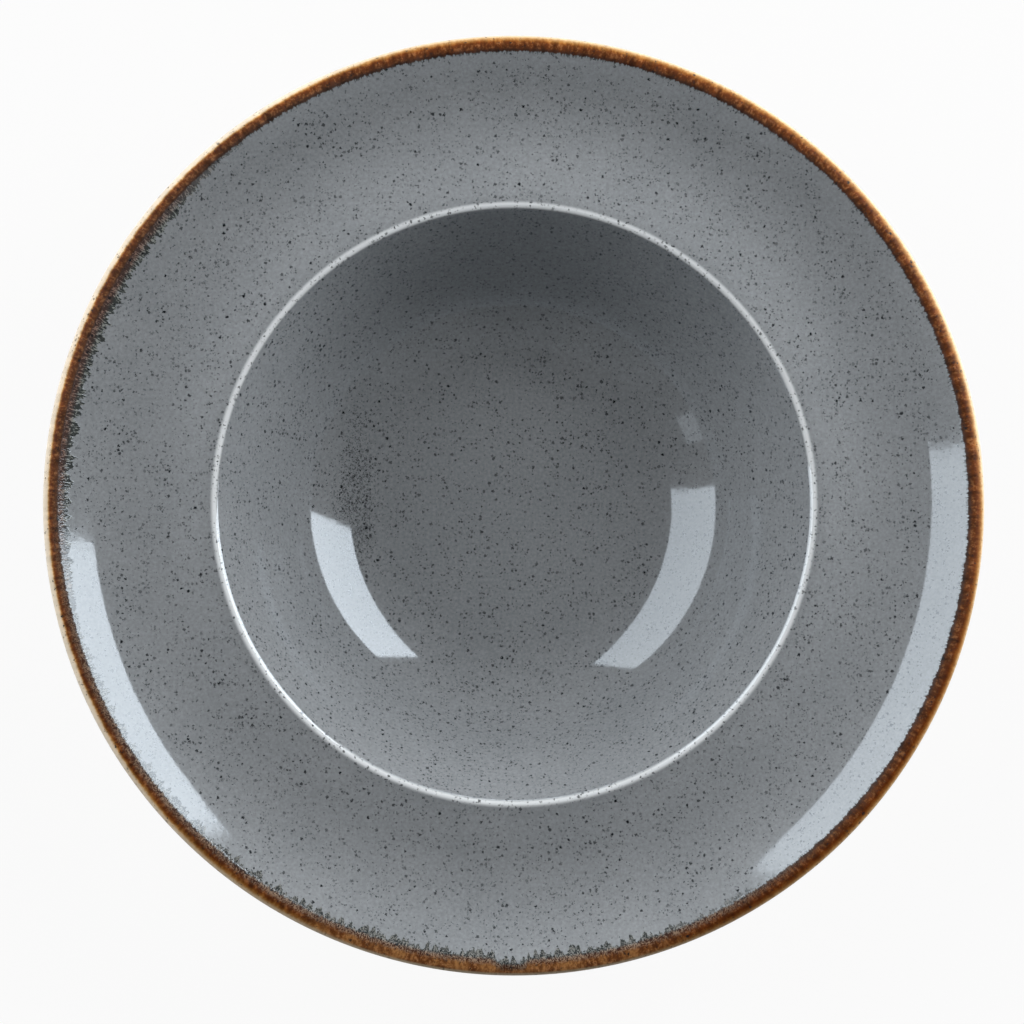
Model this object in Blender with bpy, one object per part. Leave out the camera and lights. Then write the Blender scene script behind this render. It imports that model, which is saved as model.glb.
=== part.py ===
"""Wide-rim pasta plate: a turned ceramic body under four fired glaze coats.

Metres, +Z up. The origin is the middle of the plane that the foot ring stands on, and +Z is the
plate's axis. The bare body's half section is drawn once in the (radius, height) plane, from the
middle of the well out over the rim and lip and back along the underside. Each glaze coat follows
its own stretch of that section, and every piece is turned about the axis.
"""

import math

import bmesh
import bpy
from mathutils import Vector

# Finished plate
PLATE_DIAMETER = 0.270
PLATE_HEIGHT = 0.053

# Well
CREST_DIAMETER = 0.172
CREST_ROUND = 0.0014
FLOOR_DIAMETER = 0.108
FLOOR_FILLET = 0.036
BASE_THICKNESS = 0.0048
WALL_THICKNESS = 0.0042

# Rim, a shallow trough between the crest of the well and the lip
TROUGH_FROM_CREST = 0.0262
TROUGH_DROP = 0.0047
TROUGH_FILLET = 0.040
RIM_THICKNESS = 0.0040
UNDER_RIM_FILLET = 0.009
LIP_ROUND = 0.0025
LIP_RISE = 0.0041

# Foot ring
FOOT_DIAMETER = 0.104
FOOT_WIDTH = 0.0050
FOOT_HEIGHT = 0.0035
FOOT_ROOT_FILLET = 0.0015
FOOT_EDGE_ROUND = 0.0010
HEEL_FILLET = 0.026

# Glaze
GLAZE_THICKNESS = 0.0004
BOND_GAP = 0.0003
SEAM_GAP = 0.0003
EDGE_BAND_ON_FACE = 0.0050
EDGE_BAND_UNDER_LIP = 0.0060
GLAZE_LINE_HEIGHT = 0.0016

# Facets
SEGMENTS = 56
ARC_ERROR = 0.00020
SHARP_ANGLE = math.radians(35)
WELD_DISTANCE = 0.00001

COAT = BOND_GAP + GLAZE_THICKNESS
QUARTER_TURN = math.pi / 2


def clear_scene():
    for old in list(bpy.data.objects):
        bpy.data.objects.remove(old, do_unlink=True)


def heading(angle):
    """Unit vector at an angle from the outward radial direction."""
    return Vector((math.cos(angle), math.sin(angle)))


def angle_of(vector):
    return math.atan2(vector.y, vector.x)


def left_of(direction):
    """The side of a path that faces out of the body."""
    return Vector((-direction.y, direction.x)).normalized()


def lines_meet(point, direction, other_point, other_direction):
    cross = direction.cross(other_direction)
    along = (other_point - point).cross(other_direction) / cross
    return point + direction * along


def arc(centre, radius, start, end):
    """Points from one angle to another, close enough that no chord leaves the arc by ARC_ERROR."""
    step = 2 * math.acos(max(0.0, 1 - ARC_ERROR / radius))
    count = max(1, math.ceil(abs(end - start) / step))
    angles = [start + (end - start) * i / count for i in range(count + 1)]
    return [centre + heading(a) * radius for a in angles]


def fillet(before, corner, after, radius):
    """The arc that rounds a corner, limited by the shorter of the two sides."""
    back = (before - corner).normalized()
    ahead = (after - corner).normalized()
    half_angle = back.angle(ahead) / 2
    room = min((before - corner).length, (after - corner).length)
    reach = min(radius / math.tan(half_angle), room)
    radius = reach * math.tan(half_angle)
    centre = corner + (back + ahead).normalized() * (radius / math.sin(half_angle))
    start = angle_of(corner + back * reach - centre)
    end = angle_of(corner + ahead * reach - centre)
    turn = (end - start + math.pi) % (2 * math.pi) - math.pi
    return arc(centre, radius, start, start + turn)


def tangent_point(point, centre, radius, side):
    """Where a line from a point touches a circle, on its upper side (+1) or lower side (-1)."""
    to_centre = centre - point
    lean = math.asin(radius / to_centre.length)
    reach = math.sqrt(to_centre.length_squared - radius**2)
    return point + heading(angle_of(to_centre) + side * lean) * reach


def join(*paths):
    """One path from several that follow on, without repeated points."""
    joined = []
    for point in (p for path in paths for p in path):
        if not joined or (point - joined[-1]).length > WELD_DISTANCE:
            joined.append(point)
    return joined


def split_at_radius(path, radius):
    """Two paths that meet at the first point where the path crosses a radius."""
    for i, (a, b) in enumerate(zip(path, path[1:])):
        if (a.x - radius) * (b.x - radius) <= 0:
            cut = a.lerp(b, (radius - a.x) / (b.x - a.x))
            return join(path[: i + 1], [cut]), join([cut], path[i + 1 :])
    raise ValueError("the path doesn't cross that radius")


def without_start(path, length):
    """The path from a length along it onwards."""
    rest = list(path)
    while (rest[1] - rest[0]).length <= length:
        length -= (rest[1] - rest[0]).length
        rest.pop(0)
    first = rest[0] + (rest[1] - rest[0]).normalized() * length
    return [first, *rest[1:]]


def shortened(path, at_start, at_end):
    """The path with a length taken off each of its ends."""
    rest = without_start(path, at_start)
    return without_start(rest[::-1], at_end)[::-1]


def offset(path, distance):
    """The path moved out of the body, with each segment parallel to the one that it came from."""
    sides = [left_of(b - a) for a, b in zip(path, path[1:])]
    moved = [path[0] + sides[0] * distance]
    for point, side, next_side in zip(path[1:-1], sides, sides[1:]):
        mitre = (side + next_side).normalized()
        moved.append(point + mitre * (distance / mitre.dot(side)))
    moved.append(path[-1] + sides[-1] * distance)
    return moved


def body_section():
    """The bare body's half section, as one path for each stretch that is glazed or bare alike."""
    rim_radius = PLATE_DIAMETER / 2 - COAT
    body_top = PLATE_HEIGHT - COAT
    base_plane = FOOT_HEIGHT
    floor = base_plane + BASE_THICKNESS

    # Corners of the eating face
    middle = Vector((0, floor))
    floor_corner = Vector((FLOOR_DIAMETER / 2, floor))
    crest = Vector((CREST_DIAMETER / 2, body_top - LIP_RISE))
    trough = crest + Vector((TROUGH_FROM_CREST, -TROUGH_DROP))
    lip_centre = Vector((rim_radius - LIP_ROUND, body_top - LIP_ROUND))
    lip_start = tangent_point(trough, lip_centre, LIP_ROUND, +1)
    whole_face = join(
        [middle],
        fillet(middle, floor_corner, crest, FLOOR_FILLET),
        fillet(floor_corner, crest, trough, CREST_ROUND),
        fillet(crest, trough, lip_start, TROUGH_FILLET),
        [lip_start],
    )

    # Corners of the underside, a wall's thickness behind the face
    wall_way = (crest - floor_corner).normalized()
    slope_way = (trough - crest).normalized()
    wall_point = floor_corner - left_of(wall_way) * WALL_THICKNESS
    trough_side = (left_of(slope_way) + left_of(lip_start - trough)).normalized()
    under_trough = trough - trough_side * RIM_THICKNESS
    under_crest = lines_meet(wall_point, wall_way, under_trough, slope_way)
    lip_end = tangent_point(under_trough, lip_centre, LIP_ROUND, -1)

    # Heel, where the wall's outside turns in to the foot ring
    wall_angle = angle_of(wall_way)
    heel_corner = lines_meet(wall_point, wall_way, Vector((0, base_plane)), heading(0))
    heel_inset = HEEL_FILLET * math.tan(wall_angle / 2)
    heel_centre = heel_corner + Vector((-heel_inset, HEEL_FILLET))
    heel_start = heel_centre + heading(wall_angle - QUARTER_TURN) * HEEL_FILLET
    foot_radius = FOOT_DIAMETER / 2
    root = min(FOOT_ROOT_FILLET, FOOT_HEIGHT - GLAZE_LINE_HEIGHT)
    root_reach = max(0.0, foot_radius + root - heel_centre.x)
    root_drop = math.sqrt((HEEL_FILLET + root) ** 2 - root_reach**2)
    root_centre = Vector((foot_radius + root, heel_centre.y - root_drop))
    root_touch = math.atan2(-root_drop, root_reach)
    whole_underside = join(
        [lip_end],
        fillet(lip_end, under_trough, under_crest, TROUGH_FILLET + RIM_THICKNESS),
        fillet(under_trough, under_crest, heel_start, UNDER_RIM_FILLET),
        arc(heel_centre, HEEL_FILLET, wall_angle - QUARTER_TURN, root_touch),
        arc(root_centre, root, root_touch + math.pi, math.pi),
        [Vector((foot_radius, GLAZE_LINE_HEIGHT))],
    )

    # Foot ring, bare below the glaze line on both of its sides
    foot_inside = foot_radius - FOOT_WIDTH
    outer_line = Vector((foot_radius, GLAZE_LINE_HEIGHT))
    inner_line = Vector((foot_inside, GLAZE_LINE_HEIGHT))
    outer_edge = Vector((foot_radius, 0))
    inner_edge = Vector((foot_inside, 0))
    bare_foot = join(
        [outer_line],
        fillet(outer_line, outer_edge, inner_edge, FOOT_EDGE_ROUND),
        fillet(outer_edge, inner_edge, inner_line, FOOT_EDGE_ROUND),
        [inner_line],
    )
    recess_corner = Vector((foot_inside, base_plane))
    base_middle = Vector((0, base_plane))
    base = join(
        [inner_line],
        fillet(inner_line, recess_corner, base_middle, root),
        [base_middle],
    )

    # Lip, which goes with the face above its widest ring and with the underside below it
    upper_lip = join(
        arc(lip_centre, LIP_ROUND, angle_of(lip_start - lip_centre), QUARTER_TURN),
        arc(lip_centre, LIP_ROUND, QUARTER_TURN, 0),
    )
    lower_lip = arc(lip_centre, LIP_ROUND, 0, angle_of(lip_end - lip_centre))
    face, band_on_face = split_at_radius(
        join(whole_face, upper_lip), PLATE_DIAMETER / 2 - EDGE_BAND_ON_FACE
    )
    band_under_lip, underside = split_at_radius(
        join(lower_lip, whole_underside), PLATE_DIAMETER / 2 - EDGE_BAND_UNDER_LIP
    )
    return {
        "face": face,
        "band": join(band_on_face, band_under_lip),
        "underside": underside,
        "foot": bare_foot,
        "base": base,
    }


def coat_section(path):
    """The closed section of a glaze coat over a stretch of the body."""
    outside = offset(path, COAT)
    inside = offset(path, BOND_GAP)
    return join(outside, reversed(inside))


def fired_material(name, colour, roughness):
    material = bpy.data.materials.new(name)
    material.use_nodes = True
    shader = material.node_tree.nodes["Principled BSDF"]
    shader.inputs["Base Color"].default_value = (*colour, 1)
    shader.inputs["Roughness"].default_value = roughness
    shader.inputs["Metallic"].default_value = 0
    material.diffuse_color = (*colour, 1)
    return material


def turned(name, section, material, parent):
    """A piece made by turning a closed half section about the plate's axis."""
    form = bmesh.new()
    points = [form.verts.new((point.x, 0, point.y)) for point in section]
    for a, b in zip(points, points[1:] + points[:1]):
        if max(a.co.x, b.co.x) > WELD_DISTANCE:
            form.edges.new((a, b))
    bmesh.ops.spin(
        form,
        geom=form.verts[:] + form.edges[:],
        cent=(0, 0, 0),
        axis=(0, 0, 1),
        angle=2 * math.pi,
        steps=SEGMENTS,
        use_merge=True,
    )
    bmesh.ops.remove_doubles(form, verts=form.verts[:], dist=WELD_DISTANCE)
    bmesh.ops.recalc_face_normals(form, faces=form.faces[:])
    mesh = bpy.data.meshes.new(name)
    form.to_mesh(mesh)
    form.free()
    mesh.shade_smooth()
    mesh.set_sharp_from_angle(angle=SHARP_ANGLE)
    mesh.materials.append(material)
    piece = bpy.data.objects.new(name, mesh)
    bpy.context.scene.collection.objects.link(piece)
    piece.parent = parent
    return piece


def build_plate():
    clear_scene()
    plate = bpy.data.objects.new("pasta_plate", None)
    bpy.context.scene.collection.objects.link(plate)

    section = body_section()
    bisque = fired_material("bare_bisque", (0.72, 0.66, 0.57), 0.7)
    grey = fired_material("grey_speckled_glaze", (0.20, 0.215, 0.227), 0.12)
    brown = fired_material("brown_reactive_glaze", (0.16, 0.06, 0.022), 0.15)
    pale = fired_material("pale_underside_glaze", (0.76, 0.71, 0.62), 0.15)

    half_seam = SEAM_GAP / 2
    turned("ceramic_body", join(*section.values()), bisque, plate)
    turned("face_glaze", coat_section(shortened(section["face"], 0, half_seam)), grey, plate)
    turned("edge_glaze", coat_section(shortened(section["band"], half_seam, half_seam)), brown, plate)
    turned("underside_glaze", coat_section(shortened(section["underside"], half_seam, 0)), pale, plate)
    turned("base_glaze", coat_section(section["base"]), pale, plate)


build_plate()
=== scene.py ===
"""Looks of the wide-rim pasta plate: fired glaze coats over a turned ceramic body.

Metres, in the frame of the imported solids: +Z up, and the origin is the middle of the foot ring's
plane. Every piece is turned about the plate's axis from the same half section as the solids, with
finer arcs and with glaze that lies on the body, and stands for the solid that it covers.
"""

import math
from collections import namedtuple

import bpy
from mathutils import Matrix, Quaternion, Vector


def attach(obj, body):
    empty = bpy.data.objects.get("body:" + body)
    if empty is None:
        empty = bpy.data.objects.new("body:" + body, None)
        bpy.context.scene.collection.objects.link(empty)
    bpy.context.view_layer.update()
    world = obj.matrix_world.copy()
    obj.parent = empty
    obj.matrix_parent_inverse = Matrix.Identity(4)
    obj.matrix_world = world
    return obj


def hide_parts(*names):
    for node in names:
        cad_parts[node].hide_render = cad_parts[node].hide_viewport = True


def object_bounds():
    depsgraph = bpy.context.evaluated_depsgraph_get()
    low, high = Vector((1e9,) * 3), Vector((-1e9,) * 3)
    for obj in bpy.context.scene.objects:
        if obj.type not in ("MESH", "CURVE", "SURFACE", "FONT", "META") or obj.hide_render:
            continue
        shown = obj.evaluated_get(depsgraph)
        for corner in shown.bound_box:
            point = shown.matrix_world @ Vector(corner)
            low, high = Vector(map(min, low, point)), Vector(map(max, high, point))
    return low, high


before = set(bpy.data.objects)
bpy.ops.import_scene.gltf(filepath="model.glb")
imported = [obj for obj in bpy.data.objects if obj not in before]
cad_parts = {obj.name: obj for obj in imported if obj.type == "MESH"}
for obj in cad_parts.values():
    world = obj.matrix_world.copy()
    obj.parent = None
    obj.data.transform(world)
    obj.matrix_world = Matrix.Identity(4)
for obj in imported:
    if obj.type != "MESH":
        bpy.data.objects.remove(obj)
cad_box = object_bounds()

# Plate, with its outer sizes from the solids
PLATE_RADIUS = (cad_box[1].x - cad_box[0].x) / 2
PLATE_HEIGHT = cad_box[1].z - cad_box[0].z

# Well
CREST_DIAMETER = 0.172
CREST_ROUND = 0.0014
FLOOR_DIAMETER = 0.108
FLOOR_FILLET = 0.036
BASE_THICKNESS = 0.0048
WALL_THICKNESS = 0.0042

# Rim and lip
TROUGH_FROM_CREST = 0.0262
TROUGH_DROP = 0.0047
TROUGH_FILLET = 0.040
RIM_THICKNESS = 0.0040
UNDER_RIM_FILLET = 0.009
LIP_ROUND = 0.0025
LIP_RISE = 0.0041

# Foot ring
FOOT_DIAMETER = 0.104
FOOT_WIDTH = 0.0050
FOOT_HEIGHT = 0.0035
FOOT_ROOT_FILLET = 0.0015
FOOT_EDGE_ROUND = 0.0010
HEEL_FILLET = 0.026

# Glaze
COAT = 0.0007
COAT_ROOT = -0.0002
EDGE_BAND_ON_FACE = 0.0050
EDGE_BAND_UNDER_LIP = 0.0060
GLAZE_LINE_HEIGHT = 0.0016

# Meshes
SEGMENTS = 288
BODY_SEGMENTS = 144
FINE_TURN = math.radians(3)
COARSE_TURN = math.radians(9)
SHORTEST_STEP = 0.0002
LONGEST_STEP = 0.002
SHARP_ANGLE = math.radians(35)
WELD_DISTANCE = 0.000001

# Texture maps of the coats, in shares of a square map, with a disc as its middle and its radius
MAP_NAME = "OFBake"
SEEN_DISC = (0.5, 0.5, 0.495)
HIDDEN_DISC = (0.93, 0.93, 0.06)
STRIPS = 8
SEEN_STRIP = (0.03, 0.85)
HIDDEN_STRIP = (0.90, 0.97)
STRIP_ENDS = (0.004, 0.996)

QUARTER_TURN = math.pi / 2
MILLIMETRES = 1000


# Half section


def heading(angle):
    """Unit vector at an angle from the outward radial direction."""
    return Vector((math.cos(angle), math.sin(angle)))


def angle_of(vector):
    return math.atan2(vector.y, vector.x)


def left_of(direction):
    """The side of a path that faces out of the body."""
    return Vector((-direction.y, direction.x)).normalized()


def lines_meet(point, direction, other_point, other_direction):
    cross = direction.cross(other_direction)
    along = (other_point - point).cross(other_direction) / cross
    return point + direction * along


def arc(centre, radius, start, end, turn_step):
    """Points from one angle to another, a turn step apart, or further where the arc is tight."""
    step = max(turn_step, SHORTEST_STEP / radius)
    count = max(1, math.ceil(abs(end - start) / step))
    angles = [start + (end - start) * i / count for i in range(count + 1)]
    return [centre + heading(a) * radius for a in angles]


def fillet(before, corner, after, radius, turn_step):
    """The arc that rounds a corner."""
    back = (before - corner).normalized()
    ahead = (after - corner).normalized()
    half_angle = back.angle(ahead) / 2
    reach = radius / math.tan(half_angle)
    centre = corner + (back + ahead).normalized() * (radius / math.sin(half_angle))
    start = angle_of(corner + back * reach - centre)
    end = angle_of(corner + ahead * reach - centre)
    turn = (end - start + math.pi) % (2 * math.pi) - math.pi
    return arc(centre, radius, start, start + turn, turn_step)


def tangent_point(point, centre, radius, side):
    """Where a line from a point touches a circle, on its upper side (+1) or lower side (-1)."""
    to_centre = centre - point
    lean = math.asin(radius / to_centre.length)
    reach = math.sqrt(to_centre.length_squared - radius**2)
    return point + heading(angle_of(to_centre) + side * lean) * reach


def join(*paths):
    """One path from several that follow on, without repeated points."""
    joined = []
    for point in (p for path in paths for p in path):
        if not joined or (point - joined[-1]).length > WELD_DISTANCE:
            joined.append(point)
    return joined


def stepped(path, longest):
    """The path with points added, so that no straight stretch is longer than a step."""
    points = [path[0]]
    for a, b in zip(path, path[1:]):
        count = math.ceil((b - a).length / longest)
        points += [a.lerp(b, i / count) for i in range(1, count + 1)]
    return points


def split_at_radius(path, radius):
    """Two paths that meet at the first point where the path crosses a radius."""
    for i, (a, b) in enumerate(zip(path, path[1:])):
        if (a.x - radius) * (b.x - radius) <= 0:
            cut = a.lerp(b, (radius - a.x) / (b.x - a.x))
            return join(path[: i + 1], [cut]), join([cut], path[i + 1 :])
    raise ValueError("the path doesn't cross that radius")


def offset(path, distance):
    """The path moved out of the body, with each segment parallel to the one that it came from."""
    sides = [left_of(b - a) for a, b in zip(path, path[1:])]
    moved = [path[0] + sides[0] * distance]
    for point, side, next_side in zip(path[1:-1], sides, sides[1:]):
        mitre = (side + next_side).normalized()
        moved.append(point + mitre * (distance / mitre.dot(side)))
    moved.append(path[-1] + sides[-1] * distance)
    return moved


def body_section(turn_step):
    """The bare body's half section, as one path for each stretch that is glazed or bare alike."""
    rim_radius = PLATE_RADIUS - COAT
    body_top = PLATE_HEIGHT - COAT
    base_plane = FOOT_HEIGHT
    floor = base_plane + BASE_THICKNESS

    # Corners of the eating face
    middle = Vector((0, floor))
    floor_corner = Vector((FLOOR_DIAMETER / 2, floor))
    crest = Vector((CREST_DIAMETER / 2, body_top - LIP_RISE))
    trough = crest + Vector((TROUGH_FROM_CREST, -TROUGH_DROP))
    lip_centre = Vector((rim_radius - LIP_ROUND, body_top - LIP_ROUND))
    lip_start = tangent_point(trough, lip_centre, LIP_ROUND, +1)
    whole_face = join(
        [middle],
        fillet(middle, floor_corner, crest, FLOOR_FILLET, turn_step),
        fillet(floor_corner, crest, trough, CREST_ROUND, turn_step),
        fillet(crest, trough, lip_start, TROUGH_FILLET, turn_step),
        [lip_start],
    )

    # Corners of the underside, a wall's thickness behind the face
    wall_way = (crest - floor_corner).normalized()
    slope_way = (trough - crest).normalized()
    wall_point = floor_corner - left_of(wall_way) * WALL_THICKNESS
    trough_side = (left_of(slope_way) + left_of(lip_start - trough)).normalized()
    under_trough = trough - trough_side * RIM_THICKNESS
    under_crest = lines_meet(wall_point, wall_way, under_trough, slope_way)
    lip_end = tangent_point(under_trough, lip_centre, LIP_ROUND, -1)

    # Heel, where the wall's outside turns in to the foot ring
    wall_angle = angle_of(wall_way)
    heel_corner = lines_meet(wall_point, wall_way, Vector((0, base_plane)), heading(0))
    heel_inset = HEEL_FILLET * math.tan(wall_angle / 2)
    heel_centre = heel_corner + Vector((-heel_inset, HEEL_FILLET))
    heel_start = heel_centre + heading(wall_angle - QUARTER_TURN) * HEEL_FILLET
    foot_radius = FOOT_DIAMETER / 2
    root = min(FOOT_ROOT_FILLET, FOOT_HEIGHT - GLAZE_LINE_HEIGHT)
    root_reach = max(0.0, foot_radius + root - heel_centre.x)
    root_drop = math.sqrt((HEEL_FILLET + root) ** 2 - root_reach**2)
    root_centre = Vector((foot_radius + root, heel_centre.y - root_drop))
    root_touch = math.atan2(-root_drop, root_reach)
    under_trough_fillet = TROUGH_FILLET + RIM_THICKNESS
    whole_underside = join(
        [lip_end],
        fillet(lip_end, under_trough, under_crest, under_trough_fillet, turn_step),
        fillet(under_trough, under_crest, heel_start, UNDER_RIM_FILLET, turn_step),
        arc(heel_centre, HEEL_FILLET, wall_angle - QUARTER_TURN, root_touch, turn_step),
        arc(root_centre, root, root_touch + math.pi, math.pi, turn_step),
        [Vector((foot_radius, GLAZE_LINE_HEIGHT))],
    )

    # Foot ring, bare below the glaze line on both of its sides
    foot_inside = foot_radius - FOOT_WIDTH
    outer_line = Vector((foot_radius, GLAZE_LINE_HEIGHT))
    inner_line = Vector((foot_inside, GLAZE_LINE_HEIGHT))
    outer_edge = Vector((foot_radius, 0))
    inner_edge = Vector((foot_inside, 0))
    bare_foot = join(
        [outer_line],
        fillet(outer_line, outer_edge, inner_edge, FOOT_EDGE_ROUND, turn_step),
        fillet(outer_edge, inner_edge, inner_line, FOOT_EDGE_ROUND, turn_step),
        [inner_line],
    )
    recess_corner = Vector((foot_inside, base_plane))
    base_middle = Vector((0, base_plane))
    base = join(
        [inner_line],
        fillet(inner_line, recess_corner, base_middle, root, turn_step),
        [base_middle],
    )

    # Lip, which goes with the face above its widest ring and with the underside below it
    upper_lip = join(
        arc(lip_centre, LIP_ROUND, angle_of(lip_start - lip_centre), QUARTER_TURN, turn_step),
        arc(lip_centre, LIP_ROUND, QUARTER_TURN, 0, turn_step),
    )
    lower_lip = arc(lip_centre, LIP_ROUND, 0, angle_of(lip_end - lip_centre), turn_step)
    face, band_on_face = split_at_radius(
        join(whole_face, upper_lip), PLATE_RADIUS - EDGE_BAND_ON_FACE
    )
    band_under_lip, underside = split_at_radius(
        join(lower_lip, whole_underside), PLATE_RADIUS - EDGE_BAND_UNDER_LIP
    )
    return {
        "face": face,
        "band": join(band_on_face, band_under_lip),
        "underside": underside,
        "foot": bare_foot,
        "base": base,
    }


# Turned meshes


def shares_along(path):
    """How far along its path each point lies, from 0 at the start to 1 at the end."""
    lengths = [0.0]
    for a, b in zip(path, path[1:]):
        lengths.append(lengths[-1] + (b - a).length)
    return [length / lengths[-1] for length in lengths]


def part_way(limits, share):
    low, high = limits
    return low + (high - low) * share


def disc_map(section, seen):
    """Places on the map for a coat round the axis: a disc, and a small one for its hidden side."""
    out = shares_along(section[:seen])
    back = shares_along(section[seen - 1 :])

    def place(band, ring, segment, step):
        shown = band + 1 < seen
        x, y, size = SEEN_DISC if shown else HIDDEN_DISC
        share = out[ring] if shown else 1 - back[ring - seen + 1]
        way = heading(2 * math.pi * step / SEGMENTS)
        return x + way.x * size * share, y + way.y * size * share

    return place


def strip_map(section, seen):
    """Places on the map for a coat in the form of a ring: strips, each with its hidden side above."""
    out = shares_along(section[:seen])
    back = shares_along(section[seen - 1 :] + section[:1])
    strip_length = SEGMENTS // STRIPS

    def place(band, ring, segment, step):
        strip = segment // strip_length
        if band + 1 < seen:
            across = part_way(SEEN_STRIP, out[ring])
        else:
            across = part_way(HIDDEN_STRIP, back[ring - seen + 1])
        along = part_way(STRIP_ENDS, strip + 1 - step / strip_length)
        return along, (strip + across) / STRIPS

    return place


def turned_mesh(name, section, segments, place=None):
    """A closed mesh from a half section, which is a loop or runs from the axis to the axis.

    Its texture map, if it gets one, comes from a function of a band of faces, a ring beside that
    band, a segment of the turn and a step at one end of that segment.
    """
    vertices = []
    rings = []
    for point in section:
        if point.x < WELD_DISTANCE:
            vertices.append((0, 0, point.y))
            rings.append([len(vertices) - 1] * (segments + 1))
            continue
        first = len(vertices)
        for i in range(segments):
            way = heading(2 * math.pi * i / segments)
            vertices.append((way.x * point.x, way.y * point.x, point.y))
        rings.append([first + i % segments for i in range(segments + 1)])
    faces = []
    places = []
    for band, (ring, following) in enumerate(zip(rings, rings[1:] + rings[:1])):
        if ring[0] == ring[1] and following[0] == following[1]:
            continue
        for i in range(segments):
            corners = {following[i]: (band + 1, i)}
            corners.setdefault(following[i + 1], (band + 1, i + 1))
            corners.setdefault(ring[i + 1], (band, i + 1))
            corners.setdefault(ring[i], (band, i))
            faces.append(tuple(corners))
            if place:
                places += [place(band, beside, i, step) for beside, step in corners.values()]
    mesh = bpy.data.meshes.new(name)
    mesh.from_pydata(vertices, [], faces)
    if place:
        layer = mesh.uv_layers.new(name=MAP_NAME)
        layer.uv.foreach_set("vector", [share for spread in places for share in spread])
    mesh.validate()
    mesh.shade_smooth()
    mesh.set_sharp_from_angle(angle=SHARP_ANGLE)
    return mesh


def turned_piece(name, section, segments, material, node, slot, place=None):
    """A piece of the plate that stands for a solid, which it hides, with the material that it is given;
    the slot is not used.
    """
    mesh = turned_mesh(name, section, segments, place)
    mesh.materials.append(material)
    piece = bpy.data.objects.new(name, mesh)
    bpy.context.scene.collection.objects.link(piece)
    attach(piece, "root")
    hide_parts(node)


def coat_section(fine, coarse):
    """The closed section of a glaze coat, a plainer side sunk in the body last, and its seen points."""
    outside = stepped(offset(fine, COAT), LONGEST_STEP)
    inside = offset(coarse, COAT_ROOT)
    return join(outside, reversed(inside)), len(outside)


# Node trees


class Graph:
    """A node tree that takes nodes together with their inputs."""

    def __init__(self, tree):
        self.tree = tree

    def feed(self, socket, value):
        """Links a socket to another one, or sets its value."""
        if isinstance(value, bpy.types.NodeSocket):
            self.tree.links.new(value, socket)
        else:
            socket.default_value = value

    def node(self, kind, inputs=None, **settings):
        """A new node with its inputs fed by name."""
        made = self.tree.nodes.new(kind)
        for name, value in settings.items():
            setattr(made, name, value)
        for name, value in (inputs or {}).items():
            self.feed(made.inputs[name], value)
        return made

    def math(self, operation, *values):
        made = self.node("ShaderNodeMath", operation=operation)
        for socket, value in zip(made.inputs, values):
            self.feed(socket, value)
        return made.outputs[0]

    def total(self, first, *others):
        for other in others:
            first = self.math("ADD", first, other)
        return first

    def product(self, first, *others):
        for other in others:
            first = self.math("MULTIPLY", first, other)
        return first

    def vector_math(self, operation, *values, output="Vector"):
        made = self.node("ShaderNodeVectorMath", operation=operation)
        for socket, value in zip(made.inputs, values):
            self.feed(socket, value)
        return made.outputs[output]

    def scaled(self, vector, factor):
        made = self.node("ShaderNodeVectorMath", {"Vector": vector, "Scale": factor}, operation="SCALE")
        return made.outputs["Vector"]

    def noise(self, place, size, detail, roughness=0.5, distortion=0.0):
        """Noise from about 0 to 1 whose patches are about a size across."""
        inputs = {
            "Vector": place,
            "Scale": 1 / size,
            "Detail": detail,
            "Roughness": roughness,
            "Distortion": distortion,
        }
        return self.node("ShaderNodeTexNoise", inputs).outputs["Fac"]

    def noise_vector(self, place, size, detail):
        """Three noises at once, as a colour."""
        inputs = {"Vector": place, "Scale": 1 / size, "Detail": detail}
        return self.node("ShaderNodeTexNoise", inputs).outputs["Color"]

    def between(self, value, low, high, to_low=0.0, to_high=1.0, smooth=True):
        """The value brought from one range to another and held there."""
        kind = "SMOOTHSTEP" if smooth else "LINEAR"
        inputs = {
            "Value": value,
            "From Min": low,
            "From Max": high,
            "To Min": to_low,
            "To Max": to_high,
        }
        made = self.node("ShaderNodeMapRange", inputs, interpolation_type=kind)
        return made.outputs["Result"]

    def mix(self, factor, first, second):
        """A colour between two others."""
        made = self.node("ShaderNodeMix", data_type="RGBA")
        for name, value in zip(("Factor", "A", "B"), (factor, first, second)):
            self.feed(next(s for s in made.inputs if s.name == name and s.enabled), value)
        return next(s for s in made.outputs if s.enabled)

    def ramp(self, value, stops):
        """A colour that runs through (place, colour) stops."""
        made = self.node("ShaderNodeValToRGB", {"Fac": value})
        elements = made.color_ramp.elements
        while len(elements) < len(stops):
            elements.new(1.0)
        for element, (place, colour) in zip(elements, stops):
            element.position = place
            element.color = (*colour, 1)
        return made.outputs["Color"]

    def split(self, vector):
        return self.node("ShaderNodeSeparateXYZ", {"Vector": vector}).outputs[:]

    def combined(self, x, y, z):
        return self.node("ShaderNodeCombineXYZ", {"X": x, "Y": y, "Z": z}).outputs["Vector"]


def plate_material(name):
    """A new material, with its node tree as a Graph and its shader node."""
    material = bpy.data.materials.new(name)
    material.use_nodes = True
    return material, Graph(material.node_tree), material.node_tree.nodes["Principled BSDF"]


# Glaze, with distances in millimetres, as its node trees have them
#
# A fade is the pair of radii or depths between which something comes or goes, a range is a pair of
# noise values, and a drawing is how fast a pattern changes along the radius, as a share of how fast
# it changes round the plate.

# A side of the plate: a direction, and how near to it a mark is first seen and is whole
Side = namedtuple("Side", "direction faint full")

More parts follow.
